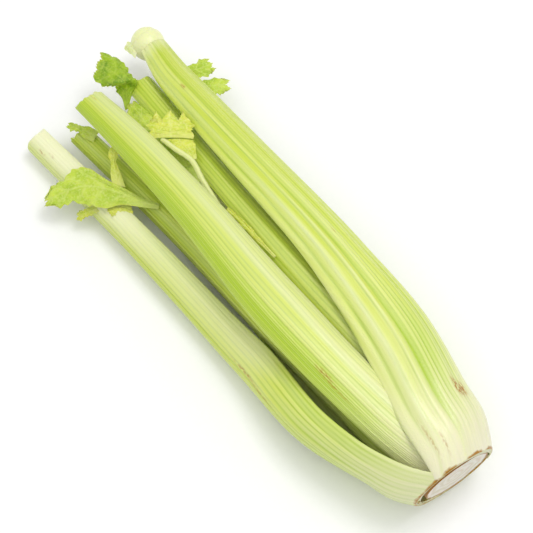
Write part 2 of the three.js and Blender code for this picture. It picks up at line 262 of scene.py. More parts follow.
# Rows across each leaf, from its joint to its tip: the middle of the row, the vector from there to its
# right-hand edge, and how far the midrib stands up between the two edges.
LEAVES = {
    "leaf_green": [
        [309, -13, 27, -0.2, -1.3, 0, 0.3],
        [314, -17, 31, -1.6, -2.6, 0, 1],
        [317, -20, 34, -3.2, -6.4, -1, 3],
        [317.5, -20, 38, -2.8, -8.7, -1, 4.5],
        [322, -19, 39.5, -0.9, -9.4, 0.5, 4.5],
        [330, -18, 39, 3, -10.8, 1, 4],
        [342, -16, 36.5, 7.6, -10.4, 0.5, 3],
    ],
    "leaf_heart_face": [
        [265, -14, 47.5, -9.1, -9.9, 0.5, 1.5],
        [270, -18, 50, -10.2, -11.4, 0, 2],
        [279, -24, 51.5, -9.6, -12, -1, 2],
    ],
    "leaf_heart_fold": [
        [246, -15.5, 44.5, -0.5, -2.1, 0, 0.3],
        [254, -17, 46, -3.1, -4.6, 0, 1],
        [262.5, -17, 46.5, -6.8, -7.5, 0, 1],
    ],
    "leaf_heart_under": [
        [236, -11, 35, 0.2, -2.9, 0, 1],
        [264, -10, 34, 0.9, -8, 0, 2],
        [290, -13, 32, -0.4, -8.6, 0, 3],
        [310, -17, 29.5, -0.1, -4, 0, 1],
    ],
    "leaf_left_broad": [
        [243, 15.5, 27, 1.2, -1.3, 0, 0.8],
        [254, 23.5, 28.5, 3.2, -2, 0, 1.2],
        [267, 30, 28.5, 7.9, -2.8, 0.2, 1.8],
        [279, 37, 26.5, 14.2, -5.3, 0.5, 2.6],
        [287, 45, 24, 12.6, -3.7, 0.5, 2.2],
        [293, 56, 20, 8.8, -2.9, 0.5, 1.5],
        [296.5, 65.5, 15.5, 2.8, -2.2, 0.5, 0.4],
    ],
    "leaf_left_small": [
        [271, 43, 19, 2.4, 0.1, 0, 0.3],
        [275, 50, 14.5, 3.6, -1.6, 0.5, 0.5],
        [278.5, 54.5, 10, 2.4, -2.4, 0.5, 0.5],
    ],
    "leaf_left_lobe": [
        [261, 32, 24, -4.5, -5.1, 0, 0.6],
        [258, 34.5, 23.5, -6, -5.8, 0, 0.8],
        [254.5, 37, 21.8, -4, -4.2, 0, 0.5],
    ],
    "leaf_bud": [
        [269.5, 25.5, 27, -2.6, -3, 0, 1],
        [277, 22, 31, -2.4, -2.1, 0, 1],
        [282, 19, 34, -1.1, -1.3, 0, 0.6],
        [285, 16.5, 37, -2.2, -2.5, 0, 0.8],
        [288, 13, 40, -1.1, -1.3, 0, 0.3],
    ],
    "leaf_tip_left": [
        [309, 12.5, 22, 1.8, -3.9, 0, 1],
        [318, 17, 23.5, 0.8, -3.6, 0.5, 1.5],
        [328, 21.5, 22, 0.9, -2.9, 0, 0.8],
    ],
    "leaf_right_upper": [
        [308, -50.8, 13, 1, -0.2, 0, 0.3],
        [307, -57, 21.5, 6.6, -1.4, 0, 1],
        [302, -67, 25, 7.2, -2.2, 0, 1.8],
        [299.5, -76.5, 24.5, 7.4, -0.8, 0.5, 1.5],
    ],
    "leaf_right_lower": [
        [297, -51.2, 11.5, 1, -0.2, 0, 0.3],
        [293, -58, 19.5, 5.2, -1, 0, 1],
        [288, -67, 22, 6.8, -3.1, 0, 1.5],
        [281.5, -76, 21.5, 5.4, -3.7, 0.5, 0.8],
    ],
    "knuckle_flap": [
        [332, -40.5, 35, 1.6, -2.6, 0, 0.6],
        [337, -41, 35, 2, -3, 0.5, 1],
        [343, -40, 33.5, 1.2, -3, 0.5, 0.5],
    ],
    "leaf_inner": [
        [163, -8.2, 50.3, 0, -0.8, 0.1, 0.2],
        [178, -8.5, 49, 0.3, -2, 0.3, 0.5],
        [193, -8.8, 48.5, 0.3, -2.4, 0.3, 0.6],
        [207, -8.2, 48, 0.2, -1.8, 0.2, 0.4],
    ],
}

# Each leaf's outline: lobes along its left side, its right side and its tip, how deep they are cut in
# millimetres, teeth on each lobe, how deep those are in millimetres, how much of its length is plain before
# they begin, and the crumpling of the blade in millimetres.
OUTLINES = {
    "leaf_green": (2, 3, 3, 2.4, 4, 1.1, 0.35, 2.0),
    "leaf_heart_face": (1, 1, 3, 7.0, 6, 1.5, 0.3, 1.2),
    "leaf_heart_fold": (1, 1, 1, 0.8, 1, 0.0, 0.3, 0.6),
    "leaf_heart_under": (3, 3, 2, 1.5, 5, 1.0, 0.3, 1.6),
    "leaf_left_broad": (4, 4, 2, 3.0, 3, 1.5, 0.55, 1.6),
    "leaf_left_small": (2, 2, 2, 1.5, 3, 1.0, 0.2, 0.6),
    "leaf_left_lobe": (1, 1, 1, 0.8, 6, 0.6, 0.2, 0.6),
    "leaf_bud": (1, 1, 2, 0.5, 4, 0.4, 0.4, 0.5),
    "leaf_tip_left": (2, 2, 2, 1.8, 3, 1.0, 0.4, 1.0),
    "leaf_right_upper": (2, 2, 3, 2.6, 3, 1.0, 0.45, 1.0),
    "leaf_right_lower": (2, 1, 2, 3.0, 5, 1.2, 0.45, 1.0),
    "knuckle_flap": (1, 1, 2, 0.6, 3, 0.3, 0.2, 0.6),
    "leaf_inner": (4, 5, 1, 1.6, 2, 0.8, 0.1, 0.7),
}


# ---------------------------------------------------------------- curves through the tables
def between(rows, at, lengths):
    """A smooth curve through the rows, at each place of the array `at`, counted in rows."""
    rows = np.asarray(rows, float)
    lengths = np.asarray(lengths, float)
    rise = np.diff(rows, axis=0) / lengths[:, None]
    slope = np.vstack([rise[:1], rise])
    before, after = lengths[:-1, None], lengths[1:, None]
    slope[1:-1] = (rise[:-1] * after + rise[1:] * before) / (before + after)
    i = np.clip(np.floor(at).astype(int), 0, len(rows) - 2)
    t = (at - i)[..., None]
    span = lengths[i][..., None]
    ease = t * t * (3 - 2 * t)
    leave = slope[i] * t * (1 - t) ** 2
    arrive = slope[i + 1] * t * t * (t - 1)
    return rows[i] + (rows[i + 1] - rows[i]) * ease + span * (leave + arrive)


def station_at(rows, x):
    """A stalk's station at each x of an array."""
    stops = np.array([row[0] for row in rows], float)
    at = np.interp(x, stops, np.arange(len(stops)))
    i = np.clip(np.floor(at).astype(int), 0, len(stops) - 2)
    at = i + np.clip((x - stops[i]) / (stops[i + 1] - stops[i]), 0, 1)
    return between(rows, at, np.diff(stops))


def smoothstep(low, high, value):
    """Rises gently from 0 at low to 1 at high."""
    t = np.clip((value - low) / (high - low), 0, 1)
    return t * t * (3 - 2 * t)


def waves(rng, *coordinates, count=5):
    """A slow random swell between about -1 and 1, made of a few sines over the coordinates."""
    total = 0
    for _ in range(count):
        phase = rng.uniform(0, 2 * math.pi)
        for value in coordinates:
            phase = phase + value * rng.uniform(-1.6, 1.6)
        total = total + np.sin(phase)
    return total / count * 1.4


# ---------------------------------------------------------------- meshes
def in_scene(name, data):
    """A new object in the scene that shows this data."""
    made = bpy.data.objects.new(name, data)
    bpy.context.scene.collection.objects.link(made)
    return made


def face_outwards(mesh):
    """Turns a closed mesh the right way out."""
    shape = bmesh.new()
    shape.from_mesh(mesh)
    if shape.calc_volume(signed=True) < 0:
        bmesh.ops.reverse_faces(shape, faces=shape.faces)
    shape.to_mesh(mesh)
    shape.free()


def mesh_object(name, points, faces, attributes):
    """A closed object from points in the head's own axes, in millimetres. Each attribute has a number or a
    vector for every point."""
    mesh = bpy.data.meshes.new(name)
    mesh.from_pydata(((points + ORIGIN) * MM).tolist(), [], faces)
    for key, values in attributes.items():
        values = np.asarray(values, float)
        kind, field = ("FLOAT_VECTOR", "vector") if values.ndim == 2 else ("FLOAT", "value")
        mesh.attributes.new(key, kind, "POINT").data.foreach_set(field, values.ravel())
    mesh.shade_smooth()
    face_outwards(mesh)
    return in_scene(name, mesh)


def quads(table):
    """The faces between the points of a table, which holds their numbers."""
    corners = [table[:-1, :-1], table[:-1, 1:], table[1:, 1:], table[1:, :-1]]
    return np.stack(corners, -1).reshape(-1, 4).tolist()


def fan(centre, loop):
    """Triangles from a centre point to each side of a closed loop."""
    return [[centre, int(a), int(b)] for a, b in zip(loop, loop[1:])]


def shell(name, over, under, attributes, depths=(), end_shift=None):
    """A closed wall between two sheets of points, each an array of rows by columns by 3.
    attributes are pairs of arrays for the two sheets. depths are the places between the sheets, from 0 to 1,
    where the end faces get extra points, which end_shift(depth, end) moves."""
    rows, columns = over.shape[:2]
    size = rows * columns
    grid = np.arange(size).reshape(rows, columns)
    points = [over.reshape(-1, 3), under.reshape(-1, 3)]
    fields = {key: [side.reshape(-1, 3) if np.ndim(side) == 3 else np.ravel(side) for side in pair]
              for key, pair in attributes.items()}
    fields["cut"] = [np.zeros(size), np.zeros(size)]
    faces = quads(grid) + quads((grid + size)[:, ::-1])
    used = 2 * size
    chains = {}
    for end, row in (("butt", 0), ("top", -1)):
        table = [grid[row]]
        for depth in depths:
            points.append(over[row] * (1 - depth) + under[row] * depth + end_shift(depth, end))
            for key, (outer, inner) in attributes.items():
                fields[key].append(outer[row] * (1 - depth) + inner[row] * depth)
            fields["cut"].append(np.ones(columns))
            table.append(np.arange(used, used + columns))
            used += columns
        table = np.array(table + [grid[row] + size])
        faces += quads(table if end == "top" else table[::-1])
        chains[end] = table
    for column, way in ((0, 1), (-1, -1)):
        side = grid[:, column]
        for row in range(rows - 1):
            face = [side[row], side[row] + size, side[row + 1] + size, side[row + 1]]
            if row == 0:
                face[1:1] = chains["butt"][1:-1, column]
            if row == rows - 2:
                face[-1:-1] = chains["top"][1:-1, column][::-1]
            faces.append([int(i) for i in face[::way]])
    return mesh_object(name, np.vstack(points), faces,
                       {key: np.concatenate(parts) for key, parts in fields.items()})


# ---------------------------------------------------------------- nodes
def add(tree, kind, inputs=None, **settings):
    """Adds a node. An input is a value, a socket, or a node whose first output in use is meant."""
    node = tree.nodes.new(kind)
    for key, value in settings.items():
        setattr(node, key, value)
    for key, value in (inputs or {}).items():
        if isinstance(key, int):
            socket = node.inputs[key]
        else:
            socket = next(s for s in node.inputs if s.name == key and s.enabled)
        if isinstance(value, bpy.types.Node):
            value = next(s for s in value.outputs if s.enabled)
        if isinstance(value, bpy.types.NodeSocket):
            tree.links.new(value, socket)
        else:
            socket.default_value = value
    return node


def colour(code):
    """A linear colour from its sRGB hex value."""
    parts = [int(code[i:i + 2], 16) / 255 for i in (1, 3, 5)]
    return tuple([c / 12.92 if c <= 0.04045 else ((c + 0.055) / 1.055) ** 2.4 for c in parts] + [1.0])


def new_tree(name, sizes):
    """A Geometry Nodes tree with inputs for these sizes and for its skin."""
    tree = bpy.data.node_groups.new(name, "GeometryNodeTree")
    kinds = {"Geometry": "Geometry", **dict.fromkeys(sizes, "Float"), "Skin": "Material"}
    for label, kind in kinds.items():
        tree.interface.new_socket(label, in_out="INPUT", socket_type="NodeSocket" + kind)
    tree.interface.new_socket("Geometry", in_out="OUTPUT", socket_type="NodeSocketGeometry")
    return tree


def end_tree(tree, geometry, fields, skin):
    """Ends a tree: it stores these fields on the geometry's points, makes it real and gives it its skin."""
    for label, value in fields.items():
        geometry = add(tree, "GeometryNodeStoreNamedAttribute", {
            "Geometry": geometry, "Name": label, "Value": value,
        }, data_type="FLOAT", domain="POINT")
    real = add(tree, "GeometryNodeRealizeInstances", {"Geometry": geometry})
    skinned = add(tree, "GeometryNodeSetMaterial", {"Geometry": real, "Material": skin})
    add(tree, "NodeGroupOutput", {"Geometry": skinned})
    return tree


def grown(base, tree, values):
    """The plain mesh that the tree makes of the base object."""
    modifier = base.modifiers.new("growth", "NODES")
    modifier.node_group = tree
    for item in tree.interface.items_tree:
        if item.in_out == "INPUT" and item.name in values:
            modifier[item.identifier] = values[item.name]
    graph = bpy.context.evaluated_depsgraph_get()
    mesh = bpy.data.meshes.new_from_object(base.evaluated_get(graph))
    name = base.name
    bpy.data.objects.remove(base)
    made = in_scene(name, mesh)
    mesh.name = name
    return made


def rib_tree():
    """Raises the ribs of a stalk's back along the strands that run up it."""
    tree = new_tree("stalk_ribs", ["Ribs", "Rib height", "String height", "Wander", "Seed"])
    given = add(tree, "NodeGroupInput").outputs
    strand, along, back = [
        add(tree, "GeometryNodeInputNamedAttribute", {"Name": label}, data_type="FLOAT")
        for label in ("strand", "along", "back")
    ]
    outward = add(tree, "GeometryNodeInputNamedAttribute", {"Name": "outward"}, data_type="FLOAT_VECTOR")
    # The ribs wander slowly to and fro over about 90 mm.
    far = add(tree, "ShaderNodeMath", {0: along, 1: 0.011}, operation="MULTIPLY")
    wide = add(tree, "ShaderNodeMath", {0: strand, 1: 4.0}, operation="MULTIPLY")
    place = add(tree, "ShaderNodeCombineXYZ", {"X": far, "Y": wide, "Z": given["Seed"]})
    noise = add(tree, "ShaderNodeTexNoise", {"Vector": place, "Scale": 1.0, "Detail": 1.0})
    noise = add(tree, "ShaderNodeMath", {0: noise, 1: 0.5}, operation="SUBTRACT")
    drift = add(tree, "ShaderNodeMath", {0: noise, 1: given["Wander"], 2: strand}, operation="MULTIPLY_ADD")
    phase = add(tree, "ShaderNodeMath", {0: drift, 1: given["Ribs"]}, operation="MULTIPLY")
    # Each rib has one crest, and fine strings lie three to a rib.
    crests = []
    for strings in (1, 3):
        turn = add(tree, "ShaderNodeMath", {0: phase, 1: strings * math.pi}, operation="MULTIPLY")
        wave = add(tree, "ShaderNodeMath", {0: turn}, operation="SINE")
        crests.append(add(tree, "ShaderNodeMath", {0: wave}, operation="ABSOLUTE"))
    arch = add(tree, "ShaderNodeMath", {0: crests[0], 1: 0.7}, operation="POWER")
    # Each rib has its own strength.
    whole = add(tree, "ShaderNodeMath", {0: phase}, operation="FLOOR")
    index = add(tree, "ShaderNodeMath", {0: given["Seed"], 1: 17.3, 2: whole}, operation="MULTIPLY_ADD")
    chance = add(tree, "ShaderNodeTexWhiteNoise", {"W": index}, noise_dimensions="1D").outputs["Value"]
    vigour = add(tree, "ShaderNodeMath", {0: chance, 1: 0.65, 2: 0.35}, operation="MULTIPLY_ADD")
    ridge = add(tree, "ShaderNodeMath", {0: arch, 1: vigour}, operation="MULTIPLY")
    fine = add(tree, "ShaderNodeMath", {0: crests[1], 1: given["String height"]}, operation="MULTIPLY")
    ribs = add(tree, "ShaderNodeMath", {0: ridge, 1: given["Rib height"]}, operation="MULTIPLY")
    height = add(tree, "ShaderNodeMath", {0: ribs, 1: fine}, operation="ADD")
    height = add(tree, "ShaderNodeMath", {0: height, 1: back}, operation="MULTIPLY")
    lift = add(tree, "ShaderNodeVectorMath", {0: outward, "Scale": height}, operation="SCALE")
    moved = add(tree, "GeometryNodeSetPosition", {"Geometry": given["Geometry"], "Offset": lift})
    return end_tree(tree, moved, {"ridge": ridge, "phase": phase}, given["Skin"])


def stem_tree():
    """Sweeps a fluted, tapering section along a stem's path."""
    tree = new_tree("fluted_stem", [
        "Radius", "Flutes", "Flute depth", "Step", "Tip radius", "Place on a stalk",
    ])
    given = add(tree, "NodeGroupInput").outputs
    path = add(tree, "GeometryNodeResampleCurve", {"Curve": given["Geometry"], "Length": given["Step"]},
               mode="LENGTH")
    along = add(tree, "GeometryNodeSplineParameter").outputs["Factor"]
    far = add(tree, "ShaderNodeMath", {0: along, 1: 9.0}, operation="MULTIPLY")
    swell = add(tree, "ShaderNodeTexNoise", {"W": far}, noise_dimensions="1D")
    swell = add(tree, "ShaderNodeMath", {0: swell, 1: 0.35, 2: 0.82}, operation="MULTIPLY_ADD")
    taper = add(tree, "ShaderNodeMix", {"Factor": along, "A": given["Radius"], "B": given["Tip radius"]},
                data_type="FLOAT")
    radius = add(tree, "ShaderNodeMath", {0: taper, 1: swell}, operation="MULTIPLY")
    path = add(tree, "GeometryNodeSetCurveRadius", {"Curve": path, "Radius": radius})
    circle = add(tree, "GeometryNodeCurvePrimitiveCircle", {"Resolution": 32, "Radius": 1.0})
    around = add(tree, "GeometryNodeSplineParameter").outputs["Factor"]
    turns = add(tree, "ShaderNodeMath", {0: given["Flutes"], 1: 2 * math.pi}, operation="MULTIPLY")
    turn = add(tree, "ShaderNodeMath", {0: around, 1: turns}, operation="MULTIPLY")
    wave = add(tree, "ShaderNodeMath", {0: turn}, operation="COSINE")
    stretch = add(tree, "ShaderNodeMath", {0: wave, 1: given["Flute depth"], 2: 1.0},
                  operation="MULTIPLY_ADD")
    here = add(tree, "GeometryNodeInputPosition")
    place = add(tree, "ShaderNodeVectorMath", {0: here, "Scale": stretch}, operation="SCALE")
    section = add(tree, "GeometryNodeSetPosition", {"Geometry": circle, "Position": place})
    swept = add(tree, "GeometryNodeCurveToMesh", {
        "Curve": path, "Profile Curve": section, "Scale": radius, "Fill Caps": True,
    })
    smooth = add(tree, "GeometryNodeSetShadeSmooth", {"Geometry": swept, "Shade Smooth": True})
    return end_tree(tree, smooth, {"along": given["Place on a stalk"], "ridge": 0.5}, given["Skin"])


# ---------------------------------------------------------------- stalks
def strand_places(density, u):
    """How far across the strands each place u is, from 0 at one lip to 1 at the other."""
    fine = np.linspace(-1, 1, 400)
    rate = np.interp(fine, [d[0] for d in density], [d[1] for d in density])
    total = np.concatenate([[0], np.cumsum((rate[1:] + rate[:-1]) / 2)])
    return np.interp(u, fine, total / total[-1])


def stalk_base(name, rows, lip, length_step, order):
    """A stalk before its ribs are raised: a crescent section lofted along its stations."""
    rng = np.random.default_rng(STALK_SEED + order)
    _, rib_height, columns, density = RIBS[name]
    begin = max(rows[0][0], 0)
    end = rows[-1][0]
    middle_rows = np.linspace(begin + MIDDLE_FROM, end - MIDDLE_FROM, int((end - begin) / length_step))
    x = np.concatenate([begin + END_ROWS, middle_rows, end - END_ROWS[::-1]])[:, None]
    middle_columns = np.linspace(-MIDDLE_TO, MIDDLE_TO, columns - 2 * len(LIP_COLUMNS))
    u = np.concatenate([-LIP_COLUMNS, middle_columns, LIP_COLUMNS[::-1]])[None, :]
    slant_y, slant_z = TOP_CUTS[name]
    place = x + 0 * u
    from_end = end - x
    from_start = x - begin
    ripple = waves(rng, x / 17, u * 2.2, count=6)
    curl = waves(rng, x / 14, count=6)
    tear = waves(rng, u * 16, count=7)
    fold = sum(height * np.exp(-((u - centre - 0.012 * curl) / width) ** 2)
               for centre, width, height in FOLDS.get(name, []))
    fold = fold * smoothstep(4, 45, x) * (1 - 0.7 * smoothstep(110, 260, x))
    # The knife's slant moves points along x, so their stations are looked up again where they end up.
    for _ in range(3):
        _, y, z, facing, radius, wrap, middle = np.moveaxis(station_at(rows, place), -1, 0)
        full = lip + (middle - lip) * np.cos(u * math.pi / 2) ** 2
        thickness = full * np.sqrt(np.maximum(1 - np.abs(u) ** 10, 4e-4))
        wrap = wrap + 0.7 * curl * smoothstep(6, 30, x) * smoothstep(0, 20, from_end)
        angle = np.radians(facing + u * wrap)
        worn = TOP_ROUNDING.get(name, 0.4)
        rounding = worn * (1 - np.sqrt(1 - (1 - np.clip(from_end / worn, 0, 1)) ** 2))
        rounding = rounding + 0.3 * (1 - np.clip(from_start / 0.9, 0, 1)) ** 2
        rounding = rounding * smoothstep(1, 0.75, np.abs(u))
        outside = radius - (full - thickness) / 2 + fold + 0.3 * ripple * smoothstep(2, 30, x) - rounding
        outside = outside - (rib_height + 0.35) * smoothstep(2, 30, x)
        inside = np.minimum(outside - thickness - 0.4 * fold + 1.3 * rounding, outside - 0.15 * thickness)
        down_y, down_z = np.cos(angle), np.sin(angle)
        back_y, back_z = y + outside * down_y, z + outside * down_z
        at_butt = back_y * BUTT_SLANT * (1 - smoothstep(0, 45, x)) * (begin == 0)
        lean = slant_y * (back_y - y) + slant_z * (back_z - z)
        at_top = (lean - lean.max(axis=1, keepdims=True)) * smoothstep(-34, 0, -from_end)
        at_top = at_top - TOP_TEAR.get(name, 0.2) * (1 + tear) / 2 * smoothstep(-8, 0, -from_end)
        place = x + at_butt + at_top
    over = np.stack([place, back_y, back_z], -1)
    under = np.stack([place, y + inside * down_y, z + inside * down_z], -1)
    outward = np.stack([0 * place, down_y, down_z], -1)
    arc = np.radians(u * wrap) * radius
    fade = smoothstep(0, 26, x) * 0.85 + 0.15
    back = fade * smoothstep(0, 0.07, 1 - np.abs(u))
    zero = 0 * place
    bruise = zero
    for spot, across, half_length, half_width, strength in MARKS.get(name, []):
        offset = (arc - np.radians(across * wrap) * radius) / half_width
        bruise = bruise + strength * np.exp(-((place - spot) / half_length) ** 2 - offset ** 2)
    # Greener or paler tints of the skin, with painted shade and painted light down the sides of the top and
    # outer left stalks.
    green = blush(name, place, u) - 0.55 * fold
    near_cut = np.clip(1 - x / 3, 0, 1) * (begin == 0) + zero
    strand = strand_places(density, u) + zero
    pairs = {
        "strand": (strand, strand),
        "along": (place, place),
        "arc": (arc, arc),
        "back": (back, zero),
        "wall": (zero, zero + 1),
        "bruise": (bruise, zero),
        "blush": (green, green * 0.5),
        "near_cut": (near_cut, near_cut),
        "outward": (outward, outward),
    }
    scuffs = rng.uniform(0, 2 * math.pi, 8)

    def end_shift(depth, which):
        """The cut face sits a little below its rim and is slightly torn."""
        width = u[0]
        torn = sum(math.sin(9 * depth + s) * np.sin(width * (5 + 6 * k) + s) for k, s in enumerate(scuffs))
        sink = CUT_SINK * math.sin(math.pi * depth) * (1 - width ** 6)
        sink = sink + 0.07 * torn * min(depth, 1 - depth) * 4
        shift = np.zeros((len(width), 3))
        shift[:, 0] = sink + 0.06 * order if which == "butt" else -sink
        return shift

    return shell(name + "_ribbed", over, under, pairs, (0.06, 0.2, 0.4, 0.6, 0.8, 0.94), end_shift)


def blush(name, x, u):
    """Where a stalk's skin is greener, above 0, or paler, below 0. Mostly these are the stalks' own tints,
    but on the top stalk and the outer left stalk they are painted shade, greener down one flank, and painted
    light, paler along the other side.
    """
    if name == "outer_right_stalk":
        patch = np.exp(-((x - 62) / 36) ** 2) * np.exp(-((u + 0.18 - 0.002 * (x - 60)) / 0.27) ** 2)
        flank = smoothstep(-0.4, -0.55, u) * smoothstep(240, 150, x)
        return 0.75 * patch - 0.2 * flank - 0.15 * smoothstep(0.2, 1, u) - 0.6 * smoothstep(316, 331, x)
    if name == "top_stalk":
        # Painted shade and light on the top stalk: greener down the flank towards u = -1 for shade, paler
        # towards u = 1 for light falling on that side.
        return 1.1 * smoothstep(-0.15, -0.5, u) * smoothstep(10, 90, x) - 0.45 * smoothstep(-0.15, 0.4, u)
    if name == "outer_left_stalk":
        # Painted shade and light on the outer left stalk: greener down the flank towards u = -1 for shade,
        # paler along the upper side towards u = 1 for light falling there.
        side = 0.45 * smoothstep(0.1, -0.4, u) - 0.5 * smoothstep(0, 0.4, u) * smoothstep(100, 140, x)
        return side + 0.35 * smoothstep(130, 70, x) - 0.65 * smoothstep(200, 290, x)
    return (-0.3 if name.startswith("heart") else 0.3) + 0 * x


# ---------------------------------------------------------------- leaves
def toothed(t, lobes, depth, teeth, bite):
    """How far a leaf's edge falls short at t, from 0 to 1 along it: lobes with small pointed teeth."""
    big = t * lobes % 1
    big = np.where(big < 0.58, big / 0.58, (1 - big) / 0.42) ** 0.8
    small = t * lobes * teeth % 1
    small = np.where(small < 0.7, small / 0.7, (1 - small) / 0.3)
    return depth * (1 - big) + bite * (1 - small)


def blade(name, rows, outline, order):
    """A leaf blade: a thin sheet with a toothed outline, sunken veins and a ruffled edge."""
    rng = np.random.default_rng(LEAF_SEED + order)
    left, right, tip, depth, teeth, bite, plain, crumple = outline
    v = np.linspace(0, 1, LEAF_ROWS)[:, None]
    u = np.linspace(-1, 1, LEAF_COLUMNS)[None, :]
    opening = smoothstep(0, 0.25, v)
    last = len(rows) - 1
    table = np.array(rows, float)
    width = np.interp(v, np.linspace(0, 1, last + 1), np.linalg.norm(table[:, 3:6], axis=1))
    side = np.where(u < 0, toothed(v, left, depth, teeth, bite), toothed(v, right, depth, teeth, bite))
    side = np.minimum(side / width, 0.5) * smoothstep(plain - 0.15, plain + 0.15, v)
    reach_u = u * (1 - side * np.abs(u) ** 2)
    reach = last * np.linalg.norm(table[-1, :3] - table[-2, :3])
    reach_v = v * (1 - toothed((u + 1) / 2, tip, depth, teeth, bite) / reach * v ** 4)

    def sheet(a, b):
        row = between(rows, np.clip(b, 0, 1) * last + 0 * a, np.ones(last))
        middle, edge, rib = row[..., :3], row[..., 3:6], row[..., 6]
        point = middle + edge * a[..., None]
        point[..., 2] += rib * (1 - a ** 2)
        return point

    flat = sheet(reach_u, reach_v)
    veins = np.maximum(
        np.exp(-(u / 0.045) ** 2) + 0 * v,
        np.exp(-((((v * 6 - 1.1 * np.abs(u)) % 1) - 0.5) / 0.09) ** 2) * (1 - 0.4 * np.abs(u)),
    )
    ruffle = crumple * np.abs(u) ** 1.6 * waves(rng, v * 16, u * 2, count=6) * smoothstep(0, 0.4, v)
    pleats = 0.5 * waves(rng, v * 7, u * 6, count=6) + 0.22 * waves(rng, v * 24, u * 16, count=8)
    lift = ruffle + crumple * pleats * smoothstep(0, 0.3, v) + 0.3 * (1 - veins) * opening
    along = np.gradient(flat, axis=0)
    across = np.gradient(flat, axis=1)
    normal = np.cross(across, along)
    normal /= np.maximum(np.linalg.norm(normal, axis=-1, keepdims=True), 1e-9)
    middle = flat + normal * lift[..., None]
    rim = np.minimum(1 - np.abs(u), np.minimum(v, 1 - v) * 2)
    half = (LEAF_THICKNESS / 2) * (0.35 + 0.65 * smoothstep(0, 0.08, rim))
    half = half + 0.35 * np.exp(-(u / 0.06) ** 2) * (1 - v)
    wall = normal * half[..., None]
    fields = {"vein": veins, "edge": np.maximum(np.abs(u), v ** 3), "along": v + 0 * u}
    return shell(name + "_blade", middle + wall, middle - wall, {key: (f, f) for key, f in fields.items()})


# ---------------------------------------------------------------- other pieces
def stem_path(name, points):
    """A smooth curve along a stem."""
    curve = bpy.data.curves.new(name + "_fluted", "CURVE")
    curve.dimensions = "3D"
    spline = curve.splines.new("POLY")
    rows = np.array(points, float)
    steps = np.linalg.norm(np.diff(rows, axis=0), axis=1)
    smooth = between(rows, np.linspace(0, len(rows) - 1, STEM_POINTS), steps)
    spline.points.add(STEM_POINTS - 1)
    for point, place in zip(spline.points, (smooth + ORIGIN) * MM):
        point.co = (*place, 1)
    return in_scene(name + "_fluted", curve)


def knuckle_cap():
    """The swollen joint where the outer right stalk was cut off above its first leaves."""
    polar = np.linspace(0, math.pi, KNUCKLE_ROWS)[:, None]
    turn = np.linspace(0, 2 * math.pi, KNUCKLE_COLUMNS, endpoint=False)[None, :]
    rng = np.random.default_rng(KNUCKLE_SEED)
    lump = 0.02 * waves(rng, np.cos(turn) * 2, np.sin(turn) * 2, polar * 1.5, count=6)
    crease = -0.05 * np.exp(-((polar - 1.25) / 0.1) ** 2)
    ring = np.sin(polar)
    size = 1 + lump * ring + crease
    out = np.stack([np.cos(polar) + 0 * turn, ring * np.cos(turn), ring * np.sin(turn)], -1)
    points = np.array(KNUCKLE_CENTRE) + out * size[..., None] * np.array(KNUCKLE_RADII)
    points = np.vstack([points[1:-1].reshape(-1, 3), points[0, :1], points[-1, :1]])
    first, last = len(points) - 2, len(points) - 1
    loops = np.arange(first).reshape(-1, KNUCKLE_COLUMNS)
    loops = np.column_stack([loops, loops[:, 0]])
    faces = quads(loops) + fan(first, loops[0][::-1]) + fan(last, loops[-1])
    along = points[:, 0]
    return mesh_object("knuckle_cap", points, faces, {
        "along": along, "ridge": 0.6 + 0 * along, "blush": 0 * along - 0.5,
    })


def crown_disc():
    """The cut end of the stem: a shallow dish of pale flesh, closed behind."""
    share = np.linspace(0, 1, DISC_RINGS)[1:, None]
    turn = np.linspace(0, 2 * math.pi, DISC_COLUMNS, endpoint=False)[None, :]
    rng = np.random.default_rng(DISC_SEED)
    radius = CROWN_RADIUS * share * (1 + 0.015 * waves(rng, np.cos(turn) * 3, np.sin(turn) * 3))
    y = radius * np.cos(turn)
    z = BUTT_HEIGHT + radius * np.sin(turn)
    dish = 1.0 * (1 - share ** 4) + 0.18 * waves(rng, y / 3, z / 3, count=8)
    front = np.stack([y * BUTT_SLANT + dish, y, z], -1).reshape(-1, 3)
    back = np.stack([CROWN_LENGTH - 6 * share ** 2 + 0 * turn, y, z], -1).reshape(-1, 3)
    count = len(front)
    points = np.vstack([front, back, [[1.0, 0, BUTT_HEIGHT]], [[CROWN_LENGTH, 0, BUTT_HEIGHT]]])
    loops = np.arange(count).reshape(-1, DISC_COLUMNS)
    loops = np.column_stack([loops, loops[:, 0]])
    behind = loops + count
    faces = quads(loops) + quads(behind[:, ::-1]) + quads(np.stack([loops[-1], behind[-1]]))
    faces += fan(2 * count, loops[0][::-1]) + fan(2 * count + 1, behind[0])
    rim = np.ravel(share + 0 * turn)
    return mesh_object("crown_cut", points, faces, {"rim": np.concatenate([rim, rim, [0, 0]])})


# ---------------------------------------------------------------- materials
def new_material(name):
    """An empty material and its tree."""
    material = bpy.data.materials.new(name)
    material.use_nodes = True
    tree = material.node_tree
    tree.nodes.clear()
    return material, tree


def ramp(node, stops):
    """Sets a colour ramp's stops: pairs of a place and a hex colour."""
    elements = node.color_ramp.elements
    while len(elements) > 1:
        elements.remove(elements[-1])
    for i, (place, code) in enumerate(stops):
        element = elements[0] if i == 0 else elements.new(place)
        element.position = place
        element.color = colour(code)
    return node


def tinted(tree, tone, tints):
    """Lays tints over a tone. Each tint is given by what its strength follows, two values of that, its
    strength at each of them, and its hex colour."""
    for source, first, last, start, end, code in tints:
        amount = add(tree, "ShaderNodeMapRange", {
            "Value": source, "From Min": first, "From Max": last, "To Min": start, "To Max": end,
        })
        tone = add(tree, "ShaderNodeMix", {"Factor": amount, "A": tone, "B": colour(code)}, data_type="RGBA")
    return tone


